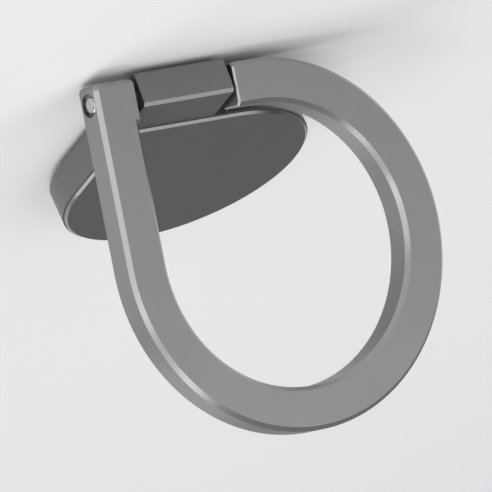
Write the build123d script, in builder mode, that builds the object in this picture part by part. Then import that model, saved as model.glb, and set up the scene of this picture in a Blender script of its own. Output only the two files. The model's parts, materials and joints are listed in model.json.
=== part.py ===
from build123d import *

import os
from math import cos, radians, sin

# Phone ring holder: a drop-shaped finger ring, hinged at its square corner on a drop-shaped base
# that it folds round, and a base that turns on a round disc stuck to a flat surface.
# The base stops short of the folded ring on the side away from the hinge, so that a nail can lift it.
# The stuck face lies on Z = 0, Z is the swivel axis, and the hinge runs along X on the +Y side.
# All sizes are in millimetres, and angles in degrees.

# Finger ring
finger_opening = 23.6
ring_band = 3.7
ring_thickness = 2.8
ring_chamfer = 0.35
ring_corner_radius = 0.5
ring_gap = 0.65
lift_gap = 2.35
open_angle = 67.0

# Hinge
hinge_edge = 1.55
hinge_rise = 1.55
knuckle_width = 8.85
knuckle_gap = 0.42
knuckle_top_edge = 1.25
knuckle_foot_edge = 1.6
knuckle_chamfer = 0.25
lug_chamfer = 0.15
pin_diameter = 1.5
pin_clearance = 0.04
pin_recess = 0.1
pin_end_radius = 0.3
pin_mouth_gap = 0.22
pin_mouth_depth = 0.45
pin_grip = 3.5
pin_end_gap = 0.1
washer_diameter = 2.1
washer_clearance = 0.05

# Base casting and its face plate
base_height = 2.95
base_lift = 0.1
base_edge_chamfer = 0.15
plate_thickness = 0.3
plate_inset = 0.12
plate_chamfer = 0.2

# Swivel
pad_thickness = 0.4
pad_inset = 0.2
disc_diameter = 16.6
disc_thickness = 0.8
disc_edge_radius = 0.2
disc_gap = 0.25
spring_space = 0.35
spring_thickness = 0.18
spring_outer_diameter = 9.0
spring_inner_diameter = 4.0
rivet_diameter = 3.0
rivet_head_diameter = 6.0
rivet_head_thickness = 0.5
rivet_flare = 0.5
rivet_head_gap = 0.1
running_gap = 0.03

# Places worked out from the sizes above
ring_inner = finger_opening / 2
ring_outer = ring_inner + ring_band
base_radius = ring_inner - ring_gap
base_depth = (base_radius + ring_inner - lift_gap) / 2
base_bottom = pad_thickness + base_lift
base_top = base_bottom + base_height
hinge_y = ring_outer - hinge_edge
hinge_z = base_bottom + hinge_rise
knuckle_left = -base_radius
knuckle_right = knuckle_left + knuckle_width
knuckle_foot = base_bottom - hinge_z
knuckle_top = base_top - hinge_z
lug_left = knuckle_left - knuckle_gap
lug_right = knuckle_right + knuckle_gap
ring_left = -ring_outer
pin_radius = pin_diameter / 2
pin_left = ring_left + pin_recess
pin_hole_end = lug_right + pin_grip
disc_radius = disc_diameter / 2
disc_top = pad_thickness + disc_thickness
recess_radius = disc_radius + disc_gap
recess_top = disc_top + spring_space
spring_reach = spring_outer_diameter / 2
spring_foot = disc_top + running_gap
spring_crest = recess_top - running_gap
rivet_radius = rivet_diameter / 2
rivet_head_radius = rivet_head_diameter / 2
rivet_head_top = base_top - rivet_head_gap
rivet_seat = rivet_head_top - rivet_head_thickness

# The open ring's own plane: its origin is on the hinge axis, its X runs along the axis, and its Y
# points from the finger opening to the hinge.
ring_plane = Plane(
    origin=(0, hinge_y, hinge_z),
    x_dir=(1, 0, 0),
    z_dir=(0, sin(radians(open_angle)), cos(radians(open_angle))),
)
ring_normal = Axis(ring_plane.origin, ring_plane.z_dir)


def drop(radius, mode=Mode.ADD):
    """Draw a drop about the present location: a circle with one square corner, towards -X and +Y."""
    Circle(radius, mode=mode)
    Rectangle(radius, radius, align=(Align.MAX, Align.MIN), mode=mode)


def base_outline(inset=0):
    """Draw the base's drop, smaller by inset all round: an oval with one square corner, towards -X and +Y."""
    with Locations((0, base_radius - base_depth)):
        Ellipse(base_radius - inset, base_depth - inset)
        Rectangle(base_radius - inset, base_depth - inset, align=(Align.MAX, Align.MIN))


def across(x):
    """A plane square to the hinge axis at x, which faces +X and has its origin on the axis."""
    return Plane(origin=(x, hinge_y, hinge_z), x_dir=(0, 1, 0), z_dir=(1, 0, 0))


os.makedirs("parts", exist_ok=True)

# Double-sided adhesive pad
with BuildPart() as adhesive_pad:
    with BuildSketch(Plane.XY):
        Circle(disc_radius - pad_inset)
    extrude(amount=pad_thickness)
adhesive_pad.part.label = "adhesive_pad"

# Stamped steel disc that the base turns on, countersunk below for the flared end of the rivet
with BuildPart() as mount_disc:
    with BuildSketch(Plane.XY.offset(pad_thickness)):
        Circle(disc_radius)
    extrude(amount=disc_thickness)
    fillet(mount_disc.edges().sort_by(Axis.Z)[-1], disc_edge_radius)
    with Locations(Plane(origin=(0, 0, pad_thickness), z_dir=(0, 0, -1))):
        CounterSinkHole(rivet_radius, rivet_radius + rivet_flare)
mount_disc.part.label = "mount_disc"

# Rivet: a flat head under the face plate, a shank that the base turns on, and a flared lower end
with BuildPart() as swivel_rivet:
    with BuildSketch(Plane.XZ):
        with BuildLine():
            Polyline(
                (0, pad_thickness),
                (rivet_radius + rivet_flare, pad_thickness),
                (rivet_radius, pad_thickness + rivet_flare),
                (rivet_radius, rivet_seat),
                (rivet_head_radius, rivet_seat),
                (rivet_head_radius, rivet_head_top),
                (0, rivet_head_top),
                close=True,
            )
        make_face()
    revolve(axis=Axis.Z)
swivel_rivet.part.label = "swivel_rivet"

# Curved spring washer: a thin ring bowed about Y, crest up, which gives the swivel its drag
with BuildPart() as spring_washer:
    with BuildSketch(Plane.XZ):
        with BuildLine():
            lower = ThreePointArc(
                (-spring_reach, spring_foot),
                (0, spring_crest - spring_thickness),
                (spring_reach, spring_foot),
            )
            upper = ThreePointArc(
                (-spring_reach, spring_foot + spring_thickness),
                (0, spring_crest),
                (spring_reach, spring_foot + spring_thickness),
            )
            Line(lower @ 0, upper @ 0)
            Line(lower @ 1, upper @ 1)
        make_face()
    extrude(amount=spring_reach, both=True)
    with BuildSketch(Plane.XY.offset(disc_top)):
        Circle(spring_reach)
        Circle(spring_inner_diameter / 2, mode=Mode.SUBTRACT)
    extrude(amount=spring_space, mode=Mode.INTERSECT)
spring_washer.part.label = "spring_washer"

# Base casting: a drop with the hinge knuckle at its square corner, hollow below for the swivel.
# The knuckle's outer wall leans back from its foot to its top.
with BuildPart() as base_body:
    with BuildSketch(Plane.XY.offset(base_bottom)):
        base_outline()
    extrude(amount=base_height)
    with BuildSketch(across(knuckle_left)):
        with BuildLine():
            Polyline(
                (base_radius - hinge_y, knuckle_foot),
                (knuckle_foot_edge, knuckle_foot),
                (knuckle_top_edge, knuckle_top),
                (base_radius - hinge_y, knuckle_top),
                close=True,
            )
        make_face()
    extrude(amount=knuckle_width)
    top_edges = base_body.edges().filter_by(Axis.X).group_by(Axis.Z)[-1]
    chamfer(top_edges.sort_by(Axis.Y)[-1], knuckle_chamfer)
    chamfer(base_body.faces().sort_by(Axis.Z)[0].edges(), base_edge_chamfer)
    with BuildSketch(Plane.XY.offset(base_bottom)):
        Circle(recess_radius)
    extrude(amount=recess_top - base_bottom, mode=Mode.SUBTRACT)
    with Locations((0, 0, base_top)):
        CounterBoreHole(
            rivet_radius + running_gap,
            rivet_head_radius + rivet_head_gap,
            base_top - rivet_seat + running_gap,
        )
    with Locations(across(knuckle_right)):
        Hole(pin_radius + pin_clearance, depth=knuckle_width)
base_body.part.label = "base_body"

# Thin face plate that hides the rivet
with BuildPart() as face_plate:
    with BuildSketch(Plane.XY.offset(base_top)):
        base_outline(plate_inset)
    extrude(amount=plate_thickness)
    chamfer(face_plate.faces().sort_by(Axis.Z)[-1].edges(), plate_chamfer)
face_plate.part.label = "face_plate"

# Friction washers on the pin, one in the slit at each end of the knuckle
washer_slits = {
    "friction_washer_left": lug_left,
    "friction_washer_right": knuckle_right,
}
washers = []
for washer_name, slit_start in washer_slits.items():
    with BuildPart() as friction_washer:
        with BuildSketch(across(slit_start + washer_clearance)):
            Circle(washer_diameter / 2)
            Circle(pin_radius + pin_clearance, mode=Mode.SUBTRACT)
        extrude(amount=knuckle_gap - 2 * washer_clearance)
    friction_washer.part.label = washer_name
    washers.append(friction_washer.part)

# Finger ring: a flat drop-shaped band with chamfered edges, cut away at its corner side for the
# knuckle, drilled for the pin from the outer face of its left lug to a blind end in its right lug
with BuildPart() as finger_ring:
    with BuildSketch(ring_plane) as band:
        with Locations((0, -hinge_y)):
            drop(ring_outer)
            drop(ring_inner, mode=Mode.SUBTRACT)
        outer_corner = band.vertices().group_by(Axis.X)[0].sort_by(Axis.Y)[-1]
        fillet(outer_corner, ring_corner_radius)
    extrude(amount=ring_thickness / 2, both=True)
    flat_faces = finger_ring.faces().sort_by(ring_normal)
    chamfer(flat_faces[0].edges() + flat_faces[-1].edges(), ring_chamfer)
    with BuildSketch(ring_plane):
        with Locations((lug_left, -hinge_y)):
            Rectangle(lug_right - lug_left, 2 * ring_outer, align=(Align.MIN, Align.MIN))
    extrude(amount=ring_thickness, both=True, mode=Mode.SUBTRACT)
    lug_ends = finger_ring.faces().filter_by(Axis.X).sort_by(Axis.X)[-2:]
    chamfer(lug_ends.edges(), lug_chamfer)
    with Locations(Plane(origin=(ring_left, hinge_y, hinge_z), z_dir=(-1, 0, 0))):
        CounterBoreHole(
            pin_radius,
            pin_radius + pin_mouth_gap,
            pin_mouth_depth,
            depth=pin_hole_end - ring_left,
        )
finger_ring.part.label = "finger_ring"

# Hinge pin with rounded ends, pressed into both lugs of the ring and free in the knuckle
with BuildPart() as hinge_pin:
    with BuildSketch(across(pin_left)):
        Circle(pin_radius)
    extrude(amount=pin_hole_end - pin_end_gap - pin_left)
    fillet(hinge_pin.edges().filter_by(GeomType.CIRCLE), pin_end_radius)
hinge_pin.part.label = "hinge_pin"

export_step(adhesive_pad.part, "parts/adhesive_pad.step")
export_step(mount_disc.part, "parts/mount_disc.step")
export_step(swivel_rivet.part, "parts/swivel_rivet.step")
export_step(spring_washer.part, "parts/spring_washer.step")
export_step(base_body.part, "parts/base_body.step")
export_step(face_plate.part, "parts/face_plate.step")
for washer in washers:
    export_step(washer, f"parts/{washer.label}.step")
export_step(finger_ring.part, "parts/finger_ring.step")
export_step(hinge_pin.part, "parts/hinge_pin.step")
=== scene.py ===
import json
import math

import bpy
import numpy as np
from mathutils import Matrix, Vector

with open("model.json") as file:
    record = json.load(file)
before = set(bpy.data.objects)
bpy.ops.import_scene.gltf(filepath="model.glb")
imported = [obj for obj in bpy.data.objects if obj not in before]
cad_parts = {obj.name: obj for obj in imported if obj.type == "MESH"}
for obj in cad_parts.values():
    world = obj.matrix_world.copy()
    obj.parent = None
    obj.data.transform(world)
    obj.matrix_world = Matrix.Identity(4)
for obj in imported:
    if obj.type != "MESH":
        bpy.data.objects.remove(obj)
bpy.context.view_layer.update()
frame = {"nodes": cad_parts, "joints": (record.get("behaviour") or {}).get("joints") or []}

# Phone ring holder: finishes for its metal, nylon and foam pieces, a pale floor, soft studio light
# and a camera. All lengths are in metres, and angles in degrees.

nodes = frame["nodes"]
joints = {joint["name"]: joint for joint in frame["joints"]}
MILLIMETRE = 0.001

# Camera: the photograph looks along the base's face from the hinge side, turned almost upside down
CAMERA_AZIMUTH = 215.87
CAMERA_ELEVATION = 20.42
CAMERA_ROLL = 204.3
CAMERA_DISTANCE = 1.29
CAMERA_SENSOR = 0.036
CAMERA_NEAR = 0.01
CAMERA_FAR = 10.0
OBJECT_SHARE = 0.80

# The open ring's normal, which its band's chamfers lean away from by half a right angle
OPEN_ANGLE = -joints["ring_hinge"]["range_deg"][0]
RING_NORMAL = (0.0, math.sin(math.radians(OPEN_ANGLE)), math.cos(math.radians(OPEN_ANGLE)))
BASE_NORMAL = (0.0, 0.0, 1.0)
HINGE_POINT = tuple(joints["ring_hinge"]["pos_m"])
SWIVEL_POINT = tuple(joints["swivel"]["pos_m"])
ROUND_X = (0.0, 1.0, 1.0)
ROUND_Z = (1.0, 1.0, 0.0)

# Colours
RING_COLOUR = (0.323, 0.331, 0.338)
RING_CUT = (0.363, 0.372, 0.381)
# The base's alloy, its cut edges and the face plate are coloured darker than the ring's same alloy: this
# darkening is painted shade
BASE_SHADED_COLOUR = (0.227, 0.233, 0.240)
BASE_SHADED_CUT = (0.258, 0.265, 0.272)
PLATE_SHADED_COLOUR = (0.231, 0.237, 0.244)
PIN_COLOUR = (0.60, 0.60, 0.61)
STEEL_COLOUR = (0.52, 0.52, 0.53)
SPRING_COLOUR = (0.29, 0.285, 0.28)
NYLON_COLOUR = (0.018, 0.018, 0.02)
NYLON_RUBBED = (0.035, 0.035, 0.037)
FOAM_COLOUR = (0.035, 0.035, 0.038)
FOAM_CELLS = (0.075, 0.075, 0.08)
FLOOR_COLOUR = (0.83, 0.83, 0.84)

# Roughness
RING_ROUGHNESS = 0.44
BASE_ROUGHNESS = 0.52
PLATE_ROUGHNESS = 0.36
PIN_ROUGHNESS = 0.24
STEEL_ROUGHNESS = 0.30
SPRING_ROUGHNESS = (0.28, 0.38)
NYLON_ROUGHNESS = (0.60, 0.45)
FOAM_ROUGHNESS = 0.85
FLOOR_ROUGHNESS = 0.9
FLOOR_SPECULAR = 0.2

# Noise values run from 0 to 1 about a half, and a range of them is drawn out to the full scale
NOISE_RANGE = (0.3, 0.7)
FULL = (0.0, 1.0)
BUMP_STRENGTH = 0.5

# Satin alloy: its edges are cut bright where the surface's lean to the normal lies between two ramps
CUT_RISE = (0.45, 0.60)
CUT_FALL = (0.80, 0.92)
CUT_POLISH = 0.6
SMUDGE_SIZE = 6 * MILLIMETRE
SMUDGE_TINT = 0.97
SMUDGE_ROUGHNESS = 0.02
SCUFF_SIZE = (0.05 * MILLIMETRE, 1.6 * MILLIMETRE, 1.2 * MILLIMETRE)
SCUFF_RANGE = (0.68, 0.74)
SCUFF_SHARE = 0.2
BLASTED = 0.06 * MILLIMETRE
HAIRLINE = (4.0 * MILLIMETRE, 0.03 * MILLIMETRE, 0.03 * MILLIMETRE)
GRAIN_DEPTH = 0.004 * MILLIMETRE

# Turned steel and spring strip
CLOUD_SIZE = 1.5 * MILLIMETRE
CLOUD_TINT = 0.9
CLOUD_ROUGHNESS = 0.04
PIN_PITCH = 0.1 * MILLIMETRE
STEEL_PITCH = 0.15 * MILLIMETRE
STRIP_GRAIN = (3 * MILLIMETRE, 0.06 * MILLIMETRE, 0.06 * MILLIMETRE)
STRIP_TINT = 0.8
TURNING_DEPTH = 0.002 * MILLIMETRE

# Nylon and foam
RUBBED_SIZE = 0.3 * MILLIMETRE
RUBBED_RANGE = (0.4, 0.7)
NYLON_GRAIN = 0.05 * MILLIMETRE
NYLON_DEPTH = 0.003 * MILLIMETRE
CELL_SIZE = 0.09 * MILLIMETRE
CELL_RANGE = (0.40, 0.65)
CELL_DEPTH = 0.02 * MILLIMETRE
CELL_STRENGTH = 0.6

# Studio: the room's radiance behind the object and before it, the floor, and the softboxes
ROOM_BEHIND = 0.328
ROOM_BEFORE = 0.350
FLOOR_HALF = 3.0
SOFTBOXES = {
    "key": {"azimuth": 308.0, "elevation": 49.0, "size": 0.70, "radiance": 2.3, "distance": 0.8},
    "top": {"azimuth": 252.0, "elevation": 50.0, "size": 0.84, "radiance": 0.59, "distance": 0.9},
    "front": {"azimuth": 145.0, "elevation": 46.0, "size": 0.26, "radiance": 1.0, "distance": 0.25},
    "side": {"azimuth": 240.0, "elevation": 16.0, "size": 0.56, "radiance": 1.13, "distance": 0.8},
    "back": {"azimuth": 355.0, "elevation": 8.0, "size": 0.50, "radiance": 0.56, "distance": 0.8},
}

# The Mix node's sockets for two colours and for their mix
MIX_COLOURS = (6, 7)
MIX_RESULT = 2


class Shader:
    """A new material with its Principled shader, and short ways to add and join nodes."""

    def __init__(self, name):
        self.material = bpy.data.materials.new(name)
        self.material.use_nodes = True
        self.tree = self.material.node_tree
        self.principled = self.tree.nodes["Principled BSDF"]

    def set(self, **values):
        """Set constants on the Principled shader; a socket's name has _ for each space."""
        for socket, value in values.items():
            if isinstance(value, tuple):
                value = (*value, 1.0)
            self.principled.inputs[socket.replace("_", " ")].default_value = value

    def add(self, kind, **settings):
        node = self.tree.nodes.new(kind)
        for key, value in settings.items():
            setattr(node, key, value)
        return node

    def join(self, source, target):
        self.tree.links.new(source, target)

    def shade(self, source, socket):
        """Join a node's output to a socket of the Principled shader."""
        self.join(source, self.principled.inputs[socket])

    def place(self):
        """Coordinates of the piece at rest, in metres."""
        return self.add("ShaderNodeTexCoord").outputs["Object"]

    def vector(self, operation, first, second):
        node = self.add("ShaderNodeVectorMath", operation=operation)
        self.join(first, node.inputs[0])
        node.inputs[1].default_value = second
        return node

    def noise(self, size, detail=2.0):
        """Noise with features about size metres across, or drawn out to three sizes along the axes."""
        sizes = size if isinstance(size, tuple) else (size, size, size)
        stretch = tuple(1.0 / s for s in sizes)
        node = self.add("ShaderNodeTexNoise")
        node.inputs["Scale"].default_value = 1.0
        node.inputs["Detail"].default_value = detail
        self.join(self.vector("MULTIPLY", self.place(), stretch).outputs["Vector"], node.inputs["Vector"])
        return node.outputs["Fac"]

    def turning(self, point, across, pitch):
        """Rings one pitch apart round an axis through point; across has a 1 for each axis square to it."""
        arm = self.vector("SUBTRACT", self.place(), point).outputs["Vector"]
        arm = self.vector("MULTIPLY", arm, across).outputs["Vector"]
        radius = self.vector("LENGTH", arm, (0.0, 0.0, 0.0)).outputs["Value"]
        return self.math("SINE", self.math("MULTIPLY", radius, math.tau / pitch))

    def ramp(self, value, source, low=0.0, high=1.0):
        """Map value from the source range to low..high, and no further."""
        node = self.add("ShaderNodeMapRange")
        for name, number in zip(("From Min", "From Max", "To Min", "To Max"), (*source, low, high)):
            node.inputs[name].default_value = number
        self.join(value, node.inputs["Value"])
        return node.outputs["Result"]

    def math(self, operation, *values):
        """A Math node, whose values are numbers or other nodes' outputs."""
        node = self.add("ShaderNodeMath", operation=operation)
        for socket, value in zip(node.inputs, values):
            if isinstance(value, (int, float)):
                socket.default_value = value
            else:
                self.join(value, socket)
        return node.outputs["Value"]

    def mix(self, factor, first, second):
        """Mix two colours, each a triple or a node's output."""
        node = self.add("ShaderNodeMix", data_type="RGBA")
        self.join(factor, node.inputs["Factor"])
        for socket, colour in zip(MIX_COLOURS, (first, second)):
            if isinstance(colour, tuple):
                node.inputs[socket].default_value = (*colour, 1.0)
            else:
                self.join(colour, node.inputs[socket])
        return node.outputs[MIX_RESULT]

    def bump(self, height, depth, strength=BUMP_STRENGTH):
        """Bump of the given depth in metres."""
        node = self.add("ShaderNodeBump")
        node.inputs["Strength"].default_value = strength
        node.inputs["Distance"].default_value = depth
        self.join(height, node.inputs["Height"])
        self.shade(node.outputs["Normal"], "Normal")

    def lean(self, direction):
        """How far the surface faces along a direction of the piece at rest, or against it, from 0 to 1."""
        normal = self.add("ShaderNodeTexCoord").outputs["Normal"]
        return self.math("ABSOLUTE", self.vector("DOT_PRODUCT", normal, direction).outputs["Value"])


def tint(colour, share):
    return tuple(share * c for c in colour)


def satin_alloy(name, normal, colour, cut_colour, roughness, grain):
    """Satin plated alloy with a fine grain, handling smudges, light scuffs and edges cut bright.

    An edge counts as cut where it slopes against the normal."""
    shader = Shader(name)
    lean = shader.lean(normal)
    cut_edge = shader.math("MULTIPLY", shader.ramp(lean, CUT_RISE), shader.ramp(lean, CUT_FALL, 1.0, 0.0))
    smudge = shader.ramp(shader.noise(SMUDGE_SIZE), NOISE_RANGE)
    scuff = shader.ramp(shader.noise(SCUFF_SIZE, detail=1.0), SCUFF_RANGE)
    plated = shader.mix(smudge, colour, tint(colour, SMUDGE_TINT))
    plated = shader.mix(shader.math("MULTIPLY", scuff, SCUFF_SHARE), plated, cut_colour)
    shader.set(Metallic=1.0)
    shader.shade(shader.mix(cut_edge, plated, cut_colour), "Base Color")
    handled = shader.ramp(smudge, FULL, roughness - SMUDGE_ROUGHNESS, roughness + SMUDGE_ROUGHNESS)
    polish = shader.ramp(cut_edge, FULL, 1.0, CUT_POLISH)
    shader.shade(shader.math("MULTIPLY", handled, polish), "Roughness")
    shader.bump(shader.noise(grain, detail=3.0), GRAIN_DEPTH)
    return shader.material


def turned_steel(name, colour, roughness, point, across, pitch):
    """Plain steel with faint rings from turning about an axis."""
    shader = Shader(name)
    cloud = shader.ramp(shader.noise(CLOUD_SIZE, detail=4.0), NOISE_RANGE)
    shader.set(Metallic=1.0)
    shader.shade(shader.mix(cloud, colour, tint(colour, CLOUD_TINT)), "Base Color")
    dull = shader.ramp(cloud, FULL, roughness - CLOUD_ROUGHNESS, roughness + CLOUD_ROUGHNESS)
    shader.shade(dull, "Roughness")
    shader.bump(shader.turning(point, across, pitch), TURNING_DEPTH)
    return shader.material


def spring_strip(name):
    """Hardened strip, darker than plain steel and drawn along X."""
    shader = Shader(name)
    drawn = shader.noise(STRIP_GRAIN)
    shader.set(Metallic=1.0)
    shader.shade(shader.mix(drawn, SPRING_COLOUR, tint(SPRING_COLOUR, STRIP_TINT)), "Base Color")
    shader.shade(shader.ramp(drawn, NOISE_RANGE, *SPRING_ROUGHNESS), "Roughness")
    shader.bump(drawn, TURNING_DEPTH)
    return shader.material


def nylon(name):
    """Black nylon, rubbed a little paler where the noise is high."""
    shader = Shader(name)
    rubbed = shader.ramp(shader.noise(RUBBED_SIZE), RUBBED_RANGE)
    shader.shade(shader.mix(rubbed, NYLON_COLOUR, NYLON_RUBBED), "Base Color")
    shader.shade(shader.ramp(rubbed, FULL, *NYLON_ROUGHNESS), "Roughness")
    shader.bump(shader.noise(NYLON_GRAIN), NYLON_DEPTH)
    return shader.material


def foam(name):
    """Dark foam tape with fine closed cells."""
    shader = Shader(name)
    cells = shader.ramp(shader.noise(CELL_SIZE, detail=4.0), CELL_RANGE)
    shader.set(Roughness=FOAM_ROUGHNESS)
    shader.shade(shader.mix(cells, FOAM_COLOUR, FOAM_CELLS), "Base Color")
    shader.bump(cells, CELL_DEPTH, CELL_STRENGTH)
    return shader.material


def dress(material, *names):
    """Give CAD nodes their finish."""
    for name in names:
        slots = nodes[name].data.materials
        slots.clear()
        slots.append(material)


def outward(azimuth, elevation):
    """Unit vector from the object towards a place at an azimuth and an elevation."""
    azimuth, elevation = math.radians(azimuth), math.radians(elevation)
    level = math.cos(elevation)
    return Vector((math.sin(azimuth) * level, -math.cos(azimuth) * level, math.sin(elevation)))


def camera_turn():
    """Rotation of the camera: its columns are the picture's right, its up and the way back to the camera."""
    back = outward(CAMERA_AZIMUTH, CAMERA_ELEVATION)
    level = outward(CAMERA_AZIMUTH + 90.0, 0.0)
    roll = math.radians(CAMERA_ROLL)
    up = back.cross(level) * math.cos(roll) + level * math.sin(roll)
    right = up.cross(back)
    return Matrix((right, up, back)).transposed()


def add_camera(turn):
    """Camera at the photograph's angle, centred on the object and filling OBJECT_SHARE of the picture."""
    points = np.array([v.co for node in nodes.values() for v in node.data.vertices])
    seen = points @ np.array(turn)
    low, high = seen.min(0), seen.max(0)
    target = turn @ Vector((low + high) / 2)
    data = bpy.data.cameras.new("camera")
    data.sensor_width = CAMERA_SENSOR / MILLIMETRE
    width = max(high[0] - low[0], high[1] - low[1]) / OBJECT_SHARE
    data.lens = data.sensor_width * CAMERA_DISTANCE / width
    data.clip_start = CAMERA_NEAR
    data.clip_end = CAMERA_FAR
    camera = bpy.data.objects.new("camera", data)
    camera.matrix_world = Matrix.Translation(target + turn.col[2] * CAMERA_DISTANCE) @ turn.to_4x4()
    bpy.context.scene.collection.objects.link(camera)
    bpy.context.scene.camera = camera
    return target


def add_floor():
    """A pale floor, far wider than any view of the object takes in."""
    shader = Shader("floor")
    shader.set(Base_Color=FLOOR_COLOUR, Roughness=FLOOR_ROUGHNESS, Specular_IOR_Level=FLOOR_SPECULAR)
    corners = [
        (-FLOOR_HALF, -FLOOR_HALF, 0),
        (FLOOR_HALF, -FLOOR_HALF, 0),
        (FLOOR_HALF, FLOOR_HALF, 0),
        (-FLOOR_HALF, FLOOR_HALF, 0),
    ]
    mesh = bpy.data.meshes.new("floor")
    mesh.from_pydata(corners, [], [(0, 1, 2, 3)])
    mesh.materials.append(shader.material)
    floor = bpy.data.objects.new("floor", mesh)
    bpy.context.scene.collection.objects.link(floor)


def add_softbox(name, target, azimuth, elevation, size, radiance, distance):
    """A square area lamp that faces the target, with the same radiance all over its face."""
    away = outward(azimuth, elevation)
    data = bpy.data.lights.new(name, "AREA")
    data.size = size
    data.energy = radiance * math.pi * size * size
    lamp = bpy.data.objects.new(name, data)
    lamp.location = target + away * distance
    lamp.rotation_euler = away.to_track_quat("Z", "Y").to_euler()
    bpy.context.scene.collection.objects.link(lamp)


def add_room(behind, before):
    """A white room, whose radiance grows evenly from behind the object to the hinge side, +Y."""
    world = bpy.data.worlds.new("studio")
    world.use_nodes = True
    tree = world.node_tree
    background = tree.nodes["Background"]
    background.inputs["Color"].default_value = (1.0, 1.0, 1.0, 1.0)
    direction = tree.nodes.new("ShaderNodeTexCoord")
    split = tree.nodes.new("ShaderNodeSeparateXYZ")
    level = tree.nodes.new("ShaderNodeMapRange")
    level.inputs["From Min"].default_value = -1.0
    level.inputs["To Min"].default_value = behind
    level.inputs["To Max"].default_value = before
    tree.links.new(direction.outputs["Generated"], split.inputs["Vector"])
    tree.links.new(split.outputs["Y"], level.inputs["Value"])
    tree.links.new(level.outputs["Result"], background.inputs["Strength"])
    bpy.context.scene.world = world


dress(
    satin_alloy("ring_alloy", RING_NORMAL, RING_COLOUR, RING_CUT, RING_ROUGHNESS, BLASTED),
    "finger_ring",
)
# The base and face plate take the darker colours, which are painted shade
dress(
    satin_alloy("base_alloy", BASE_NORMAL, BASE_SHADED_COLOUR, BASE_SHADED_CUT, BASE_ROUGHNESS, BLASTED),
    "base_body",
)
dress(
    satin_alloy("plate_alloy", BASE_NORMAL, PLATE_SHADED_COLOUR, BASE_SHADED_CUT, PLATE_ROUGHNESS, HAIRLINE),
    "face_plate",
)
dress(
    turned_steel("pin_steel", PIN_COLOUR, PIN_ROUGHNESS, HINGE_POINT, ROUND_X, PIN_PITCH),
    "hinge_pin",
)
dress(
    turned_steel("steel", STEEL_COLOUR, STEEL_ROUGHNESS, SWIVEL_POINT, ROUND_Z, STEEL_PITCH),
    "mount_disc",
    "swivel_rivet",
)
dress(spring_strip("spring_steel"), "spring_washer")
dress(nylon("nylon"), "friction_washer_left", "friction_washer_right")
dress(foam("adhesive_foam"), "adhesive_pad")

target = add_camera(camera_turn())
add_floor()
add_room(ROOM_BEHIND, ROOM_BEFORE)
for name, values in SOFTBOXES.items():
    add_softbox(name, target, **values)

bpy.context.scene.view_settings.view_transform = "Standard"
